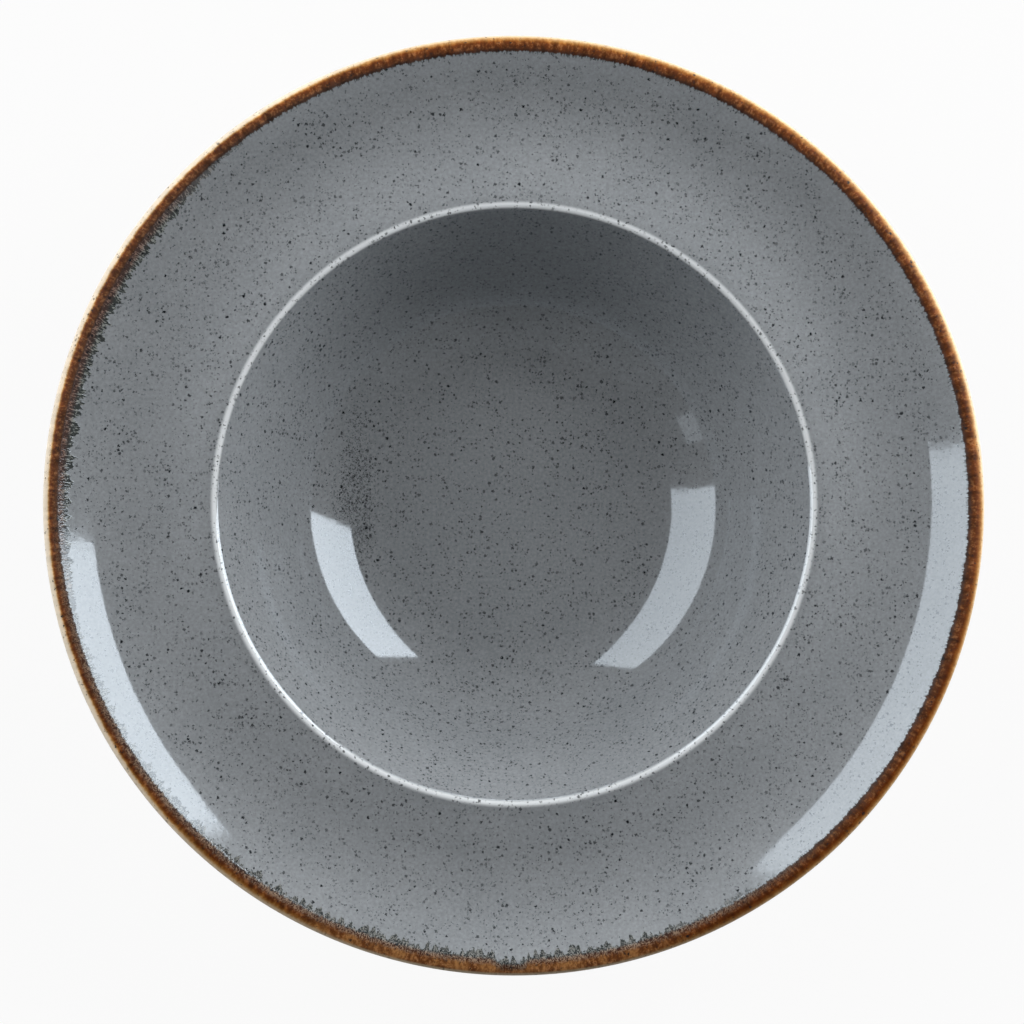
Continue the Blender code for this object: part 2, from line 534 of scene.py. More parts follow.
LIP_RADIUS = PLATE_RADIUS * MILLIMETRES
LIP_HEIGHT = (PLATE_HEIGHT - COAT - LIP_ROUND) * MILLIMETRES
FOLD_RADIUS = LIP_RADIUS - 1.5 * EDGE_BAND_UNDER_LIP * MILLIMETRES
CREST_RADIUS = CREST_DIAMETER / 2 * MILLIMETRES
BROWN_BORDER = 130.2

# Gloss and relief of the face, with its sheen as the shader's specular level
GLAZE_IOR = 1.76
GLAZE_TINT = (0.80, 0.905, 1.0, 1)
SMOOTHEST = 0.05
DULLEST = 0.09
BAND_DULLNESS = 0.35
FACE_SHEEN = 0.5
BAND_SHEEN = 0.05
SPECK_SHEEN = 0.34
BAND_GLOSS_FADE = (135.6, 138.0)
RIPPLE_SIZE = 2.4
RIPPLE_HEIGHT = 0.008
SWELL_SIZE = 9.0
SWELL_HEIGHT = 0.016
BROWN_HEIGHT = 0.030
MOST_NOISE = (0.2, 0.8)

# Grey ground
GREY_STOPS = (
    (0.3, (0.180, 0.193, 0.204)),
    (0.5, (0.188, 0.201, 0.212)),
    (0.7, (0.196, 0.209, 0.220)),
)
CLOUD_SIZE = 22.0
GRAIN_SIZE = 0.9
GRAIN_GAIN = 0.75
WALL_GAIN = 1.10
RIM_GAIN = 1.24
OUTER_GAIN = -0.10
# Painted light: the rim grows lighter out towards its right front side
RIM_LIGHT_GAIN = 0.06
EDGE_GAIN = 0.05
# Painted shade, darker high on the wall's back side
WALL_SHADE_GAIN = -0.26
WALL_FADE = (38.0, 60.0)
RIM_FADE = (CREST_RADIUS - 1.0, CREST_RADIUS + 6.0)
OUTER_FADE = (CREST_RADIUS + 8.0, CREST_RADIUS + 34.0)
EDGE_FADE = (BROWN_BORDER - 7.0, BROWN_BORDER - 1.5)
HIGH_WALL_FADE = (56.0, CREST_RADIUS - 12.0)
WALL_END_FADE = (CREST_RADIUS - 1.5, CREST_RADIUS)
# The rim's side that the painted light lies on
LIT_RIM_SIDE = (0.75, -0.66, 0.0)
# The wall's side that the painted shade lies on
SHADED_WALL_SIDE = Side((0.12, 0.993, 0.0), 0.35, 0.95)
# Pale line over the crest: thin glaze, brightened as a painted highlight
CREST_PALE_AND_HIGHLIGHT = (0.62, 0.65, 0.67, 1)
CREST_INNER_FADE = (CREST_RADIUS - 1.0, CREST_RADIUS - 0.2)
CREST_OUTER_FADE = (CREST_RADIUS + 0.3, CREST_RADIUS + 1.6)

# Specks
SPECK = (0.012, 0.014, 0.016, 1)
SPECK_BLUR = 0.07
SPECK_FAINTEST = 0.40
SPECK_FADE = 1.2
WANDER_SIZE = 0.34
WANDER_REACH = 1.2
CROWD_SIZE = 6.0
CROWD_RANGE = (0.34, 0.66)
LEAST_CROWD = 0.25
CLEAR_EDGE_FADE = (124.0, 129.0)
CLEAR_EDGE_SHARE = 0.45
COARSE_SPECKS = {"spacing": 1.2, "smallest": 0.14, "largest": 0.54}
COARSE_SHARE = 0.68
FINE_SPECKS = {"spacing": 0.75, "smallest": 0.14, "largest": 0.34}
FINE_SHARE = 0.60
SMOKE_SPECKS = {"spacing": 0.52, "smallest": 0.18, "largest": 0.36}
SMOKE_SHARE = 0.95
SMOKE_FADE = (0.35, 1.1)
SMOKE_MIDDLE = (-46.0, 2.0, 12.0)
SMOKE_SIZE = (7.0, 30.0, 26.0)

# Border of the brown edge
BORDER_SPIKES = 1.5
BORDER_BLUR = 0.15
SPIKE_SIZE = 0.7
SPIKE_DRAWING = 0.25
THIN_SPOT = Side((-0.008, -1.0, 0.0), 0.9991, 0.9999)
THIN_SPOT_SHIFT = 1.6

# Runs from the border in over the grey
LONGEST_RUNS = Side((-0.955, 0.295, 0.0), 0.78, 0.99)
LONGEST_RUNS_SHIFT = 0.4
RUN_LENGTH = 3.6
RUN_GROUP_SIZE = 2.4
RUN_GROUP_RANGE = (0.3, 0.7)
RUN_GROUP_LENGTHS = (0.6, 1.1)
SHORT_RUNS = 0.35
SMOOTH_BORDER = Side((-0.05, -0.999, 0.0), 0.5, 0.9)
RAGGEDNESS = (2.2, 0.6)
RUN_BLUR = 0.3
RUN_STRENGTHS = (0.6, 0.92)
HAIR_SIZE = 0.62
HAIR_DRAWING = 0.42
HAIR_TWIST = 1.2
HAIR_RANGE = (0.51, 0.61)
BROWN_HAIR_FADE = (0.4, 2.4)
RUN_DARK = (0.020, 0.024, 0.022, 1)
RUN_PALE = (0.210, 0.222, 0.208, 1)
BORDER_DARK = (0.040, 0.016, 0.010, 1)
BORDER_PINK = (0.190, 0.110, 0.080, 1)

# Curled tufts on the border
TUFTED_EDGE = Side((-0.40, -0.92, 0.0), 0.3, 0.8)
TUFT_LENGTH = 2.6
TUFT_SIZE = 1.9
TUFT_RANGE = (0.36, 0.66)
SHORTEST_TUFT = 0.25
TUFT_BLUR = 0.35
TUFT_STRENGTH = 0.92
TUFT_ROOT_FADE = (-2.3, -0.9)
BROWN_TUFT_FADE = (-0.9, 0.5)
CURL_SIZE = 1.35
CURL_DRAWING = 0.8
CURL_TWIST = 2.2
CURL_REACH = 2.0
CURL_LINE = (0.02, 0.085)
LOOP_DARK = (0.018, 0.022, 0.021, 1)
LOOP_PALE = (0.190, 0.192, 0.182, 1)
BORDER_PALE = (0.230, 0.160, 0.110, 1)

# Band over the lip, with its colours by reach, which goes on growing past the lip's widest ring
BROWN_STOPS = (
    (129.8, (0.050, 0.028, 0.020)),
    (130.8, (0.066, 0.026, 0.014)),
    (131.6, (0.072, 0.017, 0.004)),
    (132.5, (0.102, 0.024, 0.003)),
    (133.2, (0.180, 0.062, 0.012)),
    (133.6, (0.280, 0.125, 0.030)),
    (134.0, (0.420, 0.250, 0.105)),
    (134.4, (0.580, 0.435, 0.275)),
    (135.2, (0.650, 0.550, 0.420)),
    (136.4, (0.660, 0.580, 0.470)),
    (138.4, (0.760, 0.685, 0.570)),
)
GOLD_RADIUS = 133.4
PALE_GOLD_RADIUS = 132.9
GOLD_SPREAD = 0.05
PALE_GOLD_SPREAD = 1.3
PALEST_LIP = Side((-0.966, 0.26, 0.0), 0.3, 0.95)
DARKEST_LIP = Side((0.80, -0.60, 0.0), 0.65, 0.98)
DARKEST_SHIFT = 0.7
# Painted shade on the outer lip's back side, which the back strip lights most
BRIGHTEST_LIP = Side((0.26, 0.966, 0.0), 0.3, 0.9)
BRIGHTEST_FADE = (133.2, 134.2)
LIP_SHADE_SHIFT = 0.2
WAVE_SIZE = 3.0
WAVE_RANGE = (0.25, 0.75)
WAVE_REACH = 0.45
WAVE_FADE = (132.6, 134.0)
LIP_WAVES = 0.15
BAND_GRAIN_SIZE = 0.90
BAND_GRAIN_DRAWING = 0.75
STREAK_FADE = (131.0, 134.5)
STREAK_REACHES = (3.4, 0.8)

# Mottled and blotched brown in the band
MOTTLE_STOPS = (
    (0.36, (0.080, 0.028, 0.012)),
    (0.50, (0.120, 0.037, 0.009)),
    (0.64, (0.320, 0.150, 0.062)),
)
MOTTLE_SHARE = 0.45
MOTTLE_START_FADE = (130.6, 131.4)
MOTTLE_END_FADE = (132.4, 133.2)
BLOTCH_SIZE = 1.8
BLOTCH_DRAWING = 0.3
BLOTCH_FADE = (132.8, 134.2)
BLOTCH_GAINS = (2.4, 0.4)
BROWNEST_LIP = Side((-0.05, -0.999, 0.0), 0.88, 0.985)
BROWNEST_START_FADE = (130.6, 131.6)
BROWNEST_END_FADE = (133.9, 134.7)
BROWNEST_GAIN = 1.7
BROWNEST_GAIN_FADE = (131.8, 134.2)
GOLD = (0.340, 0.160, 0.055, 1)
GOLD_FLAW = (0.120, 0.037, 0.009, 1)
GOLD_FLAW_RANGE = (0.35, 0.60)
GOLD_FLAW_SHARE = 0.7
PATCH_SIZE = 4.5
PATCH_RANGE = (0.42, 0.58)
PATCH_SHARE = 0.9

# Cream underside
CREAM_STOPS = ((0.3, (0.72, 0.64, 0.52)), (0.7, (0.80, 0.73, 0.62)))
CREAM_CLOUD_SIZE = 18.0
CREAM_SPECK = (0.10, 0.07, 0.05, 1)
CREAM_SPECKS = {"spacing": 1.6, "smallest": 0.10, "largest": 0.45}
CREAM_SPECK_SHARE = 0.4
CREAM_RIPPLE_SIZE = 2.5
CREAM_RIPPLE_HEIGHT = 0.004
CREAM_SMOOTHEST = 0.08
CREAM_DULLEST = 0.14

# Bare clay
CLAY_STOPS = ((0.3, (0.60, 0.52, 0.42)), (0.7, (0.74, 0.67, 0.57)))
CLAY_CLOUD_SIZE = 12.0
CLAY_GRAIN = (0.38, 0.29, 0.21, 1)
CLAY_GRAIN_SIZE = 0.35
CLAY_GRAIN_RANGE = (0.55, 0.75)
CLAY_GRAIN_SHARE = 0.5
CLAY_GRAIN_HEIGHT = 0.05
CLAY_ROUGH_RANGE = (0.3, 0.7)
CLAY_SMOOTHEST = 0.7
CLAY_ROUGHEST = 0.9


class Spot:
    """Where a point of the glazed face lies, as sockets that the patterns are drawn from."""

    def __init__(self, graph):
        coordinates = graph.node("ShaderNodeTexCoord").outputs["Object"]
        self.place = graph.scaled(coordinates, MILLIMETRES)
        x, y, z = graph.split(self.place)
        flat = graph.combined(x, y, 0.0)
        self.radius = graph.vector_math("LENGTH", flat, output="Value")
        self.around = graph.vector_math("NORMALIZE", flat)
        self.turn = graph.scaled(self.around, LIP_RADIUS)

        # Past the lip's widest ring the reach goes on growing while the radius shrinks
        at_lip = graph.math("GREATER_THAN", self.radius, FOLD_RADIUS)
        below = graph.math("LESS_THAN", z, LIP_HEIGHT)
        past = graph.math("SUBTRACT", LIP_RADIUS, self.radius)
        self.reach = graph.total(self.radius, graph.product(at_lip, below, past, 2.0))

    def drawn_out(self, graph, share):
        """A place for patterns that change along the radius at a share of their change round it."""
        along = graph.combined(0.0, 0.0, graph.product(self.reach, share))
        return graph.vector_math("ADD", self.turn, along)

    def towards(self, graph, direction):
        """How near a point lies to a direction from the axis, from -1 to 1."""
        return graph.vector_math("DOT_PRODUCT", self.around, direction, output="Value")


def lobe(graph, spot, side):
    """1 on a side of the plate, and 0 away from it."""
    return graph.between(spot.towards(graph, side.direction), side.faint, side.full)


def grey_ground(graph, spot):
    """Cloudy grey, lighter on the wall and lighter still on the rim than on the floor, with painted light
    towards the rim's right front, painted shade high on the wall's back side, and over the crest a pale
    line of thin glaze brightened as a painted highlight.
    """
    cloud = graph.noise(spot.place, CLOUD_SIZE, detail=3.0)
    grey = graph.ramp(cloud, GREY_STOPS)
    wall = graph.between(spot.radius, *WALL_FADE, 1.0, WALL_GAIN)
    rim = graph.between(spot.radius, *RIM_FADE, 0.0, RIM_GAIN - WALL_GAIN)
    outer = graph.between(spot.radius, *OUTER_FADE, 0.0, OUTER_GAIN)
    grain = graph.noise(spot.place, GRAIN_SIZE, detail=2.0, roughness=0.6)
    grain = graph.product(graph.math("SUBTRACT", grain, 0.5), GRAIN_GAIN)
    # Painted light, lighter out towards the rim's right front side
    far = graph.between(spot.radius, CREST_RADIUS, LIP_RADIUS, 0.0, RIM_LIGHT_GAIN)
    painted_rim_light = graph.product(spot.towards(graph, LIT_RIM_SIDE), far)
    edge = graph.between(spot.reach, *EDGE_FADE, 0.0, EDGE_GAIN)
    # Painted shade: high on its back side, which faces away from the lamps, the wall is darker
    high = graph.between(spot.radius, *HIGH_WALL_FADE)
    high = graph.product(high, graph.between(spot.radius, *WALL_END_FADE, 1.0, 0.0))
    painted_wall_shade = graph.product(lobe(graph, spot, SHADED_WALL_SIDE), high, WALL_SHADE_GAIN)
    grey = graph.scaled(grey, graph.total(wall, rim, outer, painted_rim_light, edge, painted_wall_shade, grain))
    # Over the crest: a pale line of thin glaze, painted brighter to stand in for its highlight
    inside = graph.between(spot.radius, *CREST_INNER_FADE)
    outside = graph.between(spot.radius, *CREST_OUTER_FADE, 1.0, 0.0)
    return graph.mix(graph.product(inside, outside), grey, CREST_PALE_AND_HIGHLIGHT)


def speck_layer(graph, place, share, spacing, smallest, largest):
    """A mask of specks of all strengths, at most one to a cell, in a share of the cells."""
    inputs = {"Vector": place, "Scale": 1 / spacing}
    cells = graph.node("ShaderNodeTexVoronoi", inputs, feature="F1")
    chance, size, depth = graph.split(cells.outputs["Color"])
    from_middle = graph.product(cells.outputs["Distance"], spacing)
    speck_radius = graph.between(size, 0.0, 1.0, smallest, largest, smooth=False)
    from_edge = graph.math("SUBTRACT", speck_radius, from_middle)
    inside = graph.between(from_edge, 0.0, SPECK_BLUR)
    fade = graph.math("POWER", depth, SPECK_FADE)
    strength = graph.between(fade, 0.0, 1.0, SPECK_FAINTEST, 1.0, smooth=False)
    return graph.product(inside, strength, graph.math("LESS_THAN", chance, share))


def face_specks(graph, spot):
    """Iron specks of two sizes, crowded in some places, few next to the brown edge, and a smoky patch."""
    wander = graph.noise_vector(spot.place, WANDER_SIZE, detail=2.0)
    wander = graph.vector_math("SUBTRACT", wander, (0.5, 0.5, 0.5))
    strayed = graph.vector_math("ADD", spot.place, graph.scaled(wander, WANDER_REACH))
    crowd = graph.noise(spot.place, CROWD_SIZE, detail=3.0, roughness=0.6)
    share = graph.between(crowd, *CROWD_RANGE, LEAST_CROWD, 1.0)
    smoky = graph.vector_math("SUBTRACT", spot.place, SMOKE_MIDDLE)
    smoky = graph.vector_math("DIVIDE", smoky, SMOKE_SIZE)
    smoky = graph.vector_math("LENGTH", smoky, output="Value")
    share = graph.product(share, graph.between(spot.reach, *CLEAR_EDGE_FADE, 1.0, CLEAR_EDGE_SHARE))
    coarse = speck_layer(graph, strayed, graph.product(share, COARSE_SHARE), **COARSE_SPECKS)
    fine = speck_layer(graph, strayed, graph.product(share, FINE_SHARE), **FINE_SPECKS)
    smoke_share = graph.between(smoky, *SMOKE_FADE, SMOKE_SHARE, 0.0)
    smoke = speck_layer(graph, strayed, smoke_share, **SMOKE_SPECKS)
    return graph.math("MAXIMUM", coarse, graph.math("MAXIMUM", fine, smoke))


def runs(graph, spot, ground, border, spike):
    """Hair-like runs that the brown sends in over the grey: colour, and relief."""
    inward = graph.math("SUBTRACT", border, spot.reach)
    group = graph.noise(spot.turn, RUN_GROUP_SIZE, detail=1.0)
    longest = lobe(graph, spot, LONGEST_RUNS)
    lengths = graph.between(group, *RUN_GROUP_RANGE, *RUN_GROUP_LENGTHS)
    long = graph.product(longest, RUN_LENGTH, lengths)
    smooth = lobe(graph, spot, SMOOTH_BORDER)
    ragged = graph.math("SUBTRACT", spike, 0.5)
    ragged = graph.product(ragged, graph.between(smooth, 0.0, 1.0, *RAGGEDNESS))
    covered = graph.math("SUBTRACT", graph.total(long, SHORT_RUNS, ragged), inward)
    covered = graph.between(covered, 0.0, RUN_BLUR)

    # Pale and dark hairs, pink and brown next to the band
    drawn = spot.drawn_out(graph, HAIR_DRAWING)
    hair = graph.noise(drawn, HAIR_SIZE, detail=1.0, distortion=HAIR_TWIST)
    near = graph.product(graph.between(inward, *BROWN_HAIR_FADE, 1.0, 0.0), longest)
    pale = graph.mix(near, RUN_PALE, BORDER_PINK)
    dark = graph.mix(near, RUN_DARK, BORDER_DARK)
    haired = graph.mix(graph.between(hair, *HAIR_RANGE), dark, pale)
    strength = graph.between(longest, 0.0, 1.0, *RUN_STRENGTHS)
    colour = graph.mix(graph.product(covered, strength), ground, haired)
    return colour, graph.product(covered, hair)


def tufts(graph, spot, colour, border):
    """Curled tufts on one side of the plate, pale lines on dark, from the brown in over the grey."""
    inward = graph.math("SUBTRACT", border, spot.reach)
    side = lobe(graph, spot, TUFTED_EDGE)
    drawn = spot.drawn_out(graph, CURL_DRAWING)
    curl = graph.noise(drawn, CURL_SIZE, detail=1.0, distortion=CURL_TWIST)
    curl = graph.math("SUBTRACT", curl, 0.5)
    tall = graph.noise(spot.turn, TUFT_SIZE, detail=1.0)
    tall = graph.between(tall, *TUFT_RANGE, SHORTEST_TUFT, 1.0)
    tip = graph.total(graph.product(side, tall, TUFT_LENGTH), graph.product(curl, CURL_REACH))
    before_tip = graph.between(graph.math("SUBTRACT", tip, inward), 0.0, TUFT_BLUR)
    past_root = graph.between(inward, *TUFT_ROOT_FADE)
    line = graph.between(graph.math("ABSOLUTE", curl), *CURL_LINE, 1.0, 0.0)
    browned = graph.between(inward, *BROWN_TUFT_FADE, 1.0, 0.0)
    dark = graph.mix(browned, LOOP_DARK, BORDER_DARK)
    pale = graph.mix(browned, LOOP_PALE, BORDER_PALE)
    curled = graph.mix(line, dark, pale)
    return graph.mix(graph.product(side, before_tip, past_root, TUFT_STRENGTH), colour, curled)


def band_shift(graph, spot, grain):
    """How much further out along the band's colours a point lies than its reach says."""
    palest = lobe(graph, spot, PALEST_LIP)
    gold_radius = graph.between(palest, 0.0, 1.0, GOLD_RADIUS, PALE_GOLD_RADIUS)
    from_gold = graph.math("SUBTRACT", spot.reach, gold_radius)
    spread = graph.between(palest, 0.0, 1.0, GOLD_SPREAD, PALE_GOLD_SPREAD)
    shift = graph.product(from_gold, spread)
    darkened = graph.product(lobe(graph, spot, DARKEST_LIP), DARKEST_SHIFT)
    shift = graph.math("SUBTRACT", shift, darkened)
    # Painted shade: the outer lip is drawn darker on its back side, which the back strip lights most
    outermost = graph.between(spot.reach, *BRIGHTEST_FADE)
    painted_lip_shade = graph.product(lobe(graph, spot, BRIGHTEST_LIP), outermost, LIP_SHADE_SHIFT)
    shift = graph.math("SUBTRACT", shift, painted_lip_shade)
    waves = graph.noise(spot.turn, WAVE_SIZE, detail=2.0)
    waves = graph.between(waves, *WAVE_RANGE, -WAVE_REACH, WAVE_REACH)
    waves = graph.product(waves, graph.between(spot.reach, *WAVE_FADE, 1.0, LIP_WAVES))
    streaks = graph.math("SUBTRACT", grain, 0.5)
    streaks = graph.product(streaks, graph.between(spot.reach, *STREAK_FADE, *STREAK_REACHES))
    return graph.total(shift, waves, streaks)


def brownest_part(graph, spot, grain, mottled):
    """The band where it is brownest, gold with flaws and patches of mottled brown: colour, and place."""
    patch = graph.between(graph.noise(spot.turn, PATCH_SIZE, detail=1.0), *PATCH_RANGE)
    flaws = graph.between(grain, *GOLD_FLAW_RANGE, GOLD_FLAW_SHARE, 0.0)
    golden = graph.mix(flaws, GOLD, GOLD_FLAW)
    patched = graph.mix(graph.product(patch, PATCH_SHARE), golden, mottled)
    gain = graph.between(spot.reach, *BROWNEST_GAIN_FADE, 1.0, BROWNEST_GAIN)
    patched = graph.scaled(patched, gain)
    started = graph.between(spot.reach, *BROWNEST_START_FADE)
    not_ended = graph.between(spot.reach, *BROWNEST_END_FADE, 1.0, 0.0)
    return patched, graph.product(lobe(graph, spot, BROWNEST_LIP), not_ended, started)


def brown_band(graph, spot, grain):
    """The band over the lip, from its dark border out through gold to the pale lip, brown at one side."""
    first, last = BROWN_STOPS[0][0], BROWN_STOPS[-1][0]
    along = graph.total(spot.reach, band_shift(graph, spot, grain))
    along = graph.between(along, first, last, smooth=False)
    brown = graph.ramp(along, [((r - first) / (last - first), rgb) for r, rgb in BROWN_STOPS])

    # Mottled patches of brown and pink, and blotches
    mottled = graph.ramp(grain, MOTTLE_STOPS)
    past_border = graph.between(spot.reach, *MOTTLE_START_FADE)
    before_gold = graph.between(spot.reach, *MOTTLE_END_FADE, 1.0, 0.0)
    brown = graph.mix(graph.product(past_border, before_gold, MOTTLE_SHARE), brown, mottled)
    blotch = graph.noise(spot.drawn_out(graph, BLOTCH_DRAWING), BLOTCH_SIZE, detail=2.0)
    blotch = graph.math("SUBTRACT", blotch, 0.5)
    blotch = graph.product(blotch, graph.between(spot.reach, *BLOTCH_FADE, *BLOTCH_GAINS))
    brown = graph.scaled(brown, graph.total(1.0, blotch))

    patched, brownest = brownest_part(graph, spot, grain, mottled)
    return graph.mix(brownest, brown, patched)


def brown_edge(graph, spot, ground):
    """The brown band, its runs and its tufts over the ground: colour, place of the band, and relief."""
    drawn = spot.drawn_out(graph, SPIKE_DRAWING)
    spike = graph.noise(drawn, SPIKE_SIZE, detail=2.0, roughness=0.6)
    drawn = spot.drawn_out(graph, BAND_GRAIN_DRAWING)
    grain = graph.noise(drawn, BAND_GRAIN_SIZE, detail=3.0, roughness=0.65)
    spikes = graph.product(graph.math("SUBTRACT", 0.5, spike), BORDER_SPIKES)
    thin_shift = graph.product(lobe(graph, spot, THIN_SPOT), THIN_SPOT_SHIFT)
    runs_shift = graph.product(lobe(graph, spot, LONGEST_RUNS), LONGEST_RUNS_SHIFT)
    border = graph.total(spikes, BROWN_BORDER, thin_shift, runs_shift)
    past_border = graph.math("SUBTRACT", spot.reach, border)
    in_band = graph.between(past_border, -BORDER_BLUR, BORDER_BLUR)
    colour, hairs = runs(graph, spot, ground, border, spike)
    colour = graph.mix(in_band, colour, brown_band(graph, spot, grain))
    colour = tufts(graph, spot, colour, border)
    return colour, in_band, graph.math("MAXIMUM", in_band, hairs)


def glaze_group():
    """Colour, roughness, sheen and relief of the fired face, from the well's middle round to the lip."""
    tree = bpy.data.node_groups.new("fired_glaze", "ShaderNodeTree")
    outputs = (("Color", "Color"), ("Roughness", "Float"), ("Sheen", "Float"), ("Height", "Float"))
    for name, kind in outputs:
        tree.interface.new_socket(name, in_out="OUTPUT", socket_type="NodeSocket" + kind)
    graph = Graph(tree)
    spot = Spot(graph)
    colour, in_band, raised = brown_edge(graph, spot, grey_ground(graph, spot))
    specks = face_specks(graph, spot)
    colour = graph.mix(specks, colour, SPECK)
    ripple = graph.noise(spot.place, RIPPLE_SIZE, detail=2.0)
    swell = graph.noise(spot.place, SWELL_SIZE, detail=1.0)
    gloss = graph.between(ripple, *MOST_NOISE, SMOOTHEST, DULLEST, smooth=False)
    in_band = graph.product(in_band, graph.between(spot.reach, *BAND_GLOSS_FADE, 1.0, 0.0))
    gloss = graph.total(gloss, graph.product(in_band, BAND_DULLNESS))
    sheen = graph.between(in_band, 0.0, 1.0, FACE_SHEEN, BAND_SHEEN)
    speck_sheen = graph.between(specks, 0.0, 1.0, 1.0, 1.0 + SPECK_SHEEN, smooth=False)
    height = graph.total(
        graph.product(ripple, RIPPLE_HEIGHT),
        graph.product(swell, SWELL_HEIGHT),
        graph.product(raised, BROWN_HEIGHT),
    )
    result = graph.node("NodeGroupOutput")
    graph.feed(result.inputs["Color"], colour)
    graph.feed(result.inputs["Roughness"], gloss)
    graph.feed(result.inputs["Sheen"], graph.product(sheen, speck_sheen))
    graph.feed(result.inputs["Height"], height)
    return tree


def glaze_material(name, group):
    """Glossy fired glaze whose colour and relief come from a node group."""
    material, graph, shader = plate_material(name)
    fired = graph.node("ShaderNodeGroup", node_tree=group)
    relief = graph.node(
        "ShaderNodeBump",
        {"Height": fired.outputs["Height"], "Distance": 1 / MILLIMETRES, "Strength": 1.0},
    )
    graph.feed(shader.inputs["Base Color"], fired.outputs["Color"])
    graph.feed(shader.inputs["Roughness"], fired.outputs["Roughness"])
    graph.feed(shader.inputs["Specular IOR Level"], fired.outputs["Sheen"])
    graph.feed(shader.inputs["Normal"], relief.outputs["Normal"])
    shader.inputs["IOR"].default_value = GLAZE_IOR
    shader.inputs["Specular Tint"].default_value = GLAZE_TINT
    return material


def pale_material():
    """Cream glaze of the underside, with a few specks."""
    material, graph, shader = plate_material("cream_glaze")
    place = graph.scaled(graph.node("ShaderNodeTexCoord").outputs["Object"], MILLIMETRES)
    cream = graph.ramp(graph.noise(place, CREAM_CLOUD_SIZE, detail=3.0), CREAM_STOPS)
    specks = speck_layer(graph, place, CREAM_SPECK_SHARE, **CREAM_SPECKS)
    colour = graph.mix(specks, cream, CREAM_SPECK)
    ripple = graph.noise(place, CREAM_RIPPLE_SIZE, detail=2.0)
    height = CREAM_RIPPLE_HEIGHT / MILLIMETRES
    relief = graph.node("ShaderNodeBump", {"Height": ripple, "Distance": height})
    gloss = graph.between(ripple, *MOST_NOISE, CREAM_SMOOTHEST, CREAM_DULLEST, smooth=False)
    graph.feed(shader.inputs["Base Color"], colour)
    graph.feed(shader.inputs["Roughness"], gloss)
    graph.feed(shader.inputs["Normal"], relief.outputs["Normal"])
    return material


def bisque_material():
    """Rough unglazed clay of the foot ring."""
    material, graph, shader = plate_material("bare_clay")
    place = graph.scaled(graph.node("ShaderNodeTexCoord").outputs["Object"], MILLIMETRES)
    grain = graph.noise(place, CLAY_GRAIN_SIZE, detail=4.0, roughness=0.65)
    clay = graph.ramp(graph.noise(place, CLAY_CLOUD_SIZE, detail=2.0), CLAY_STOPS)
    grained = graph.between(grain, *CLAY_GRAIN_RANGE, 0.0, CLAY_GRAIN_SHARE)
    colour = graph.mix(grained, clay, CLAY_GRAIN)
    height = CLAY_GRAIN_HEIGHT / MILLIMETRES
    relief = graph.node("ShaderNodeBump", {"Height": grain, "Distance": height})
    roughness = graph.between(grain, *CLAY_ROUGH_RANGE, CLAY_SMOOTHEST, CLAY_ROUGHEST)
    graph.feed(shader.inputs["Base Color"], colour)
    graph.feed(shader.inputs["Roughness"], roughness)
    graph.feed(shader.inputs["Normal"], relief.outputs["Normal"])
    return material


# Plate


def build_plate():
    """Four glaze coats over the clay body, which is bare only at the foot ring."""
    fine = body_section(FINE_TURN)
    coarse = body_section(COARSE_TURN)
    fired = glaze_group()
    grey = glaze_material("grey_glaze", fired)
    brown = glaze_material("brown_glaze", fired)
    cream = pale_material()
    clay = bisque_material()
    coats = (
        ("well_and_rim_coat", "face", disc_map, grey, "face_glaze", "grey_speckled_glaze"),
        ("lip_coat", "band", strip_map, brown, "edge_glaze", "brown_reactive_glaze"),
        ("underside_coat", "underside", strip_map, cream, "underside_glaze", "pale_underside_glaze"),
        ("base_coat", "base", strip_map, cream, "base_glaze", "pale_underside_glaze"),
    )
    for name, stretch, coat_map, material, node, slot in coats:
        section, seen = coat_section(fine[stretch], coarse[stretch])
        turned_piece(name, section, SEGMENTS, material, node, slot, coat_map(section, seen))
    body = join(coarse["face"], coarse["band"], coarse["underside"], fine["foot"], coarse["base"])
    turned_piece("clay_body", body, BODY_SEGMENTS, clay, "ceramic_body", "bare_bisque")


# Studio, with the floor a hair below the foot ring, so that the two don't share a plane

FLOOR_SIZE = 12.0
FLOOR_LEVEL = -0.0002
BACKDROP_WHITE = 1.0
SHADOW_SHARE = 0.07
FLOOR_PAPER = (0.5, 0.5, 0.5, 1)
FLOOR_GLOW = 0.12
FILL = 0.02
RIM_LEVEL = 0.05
LAMP_FOOT = 0.005


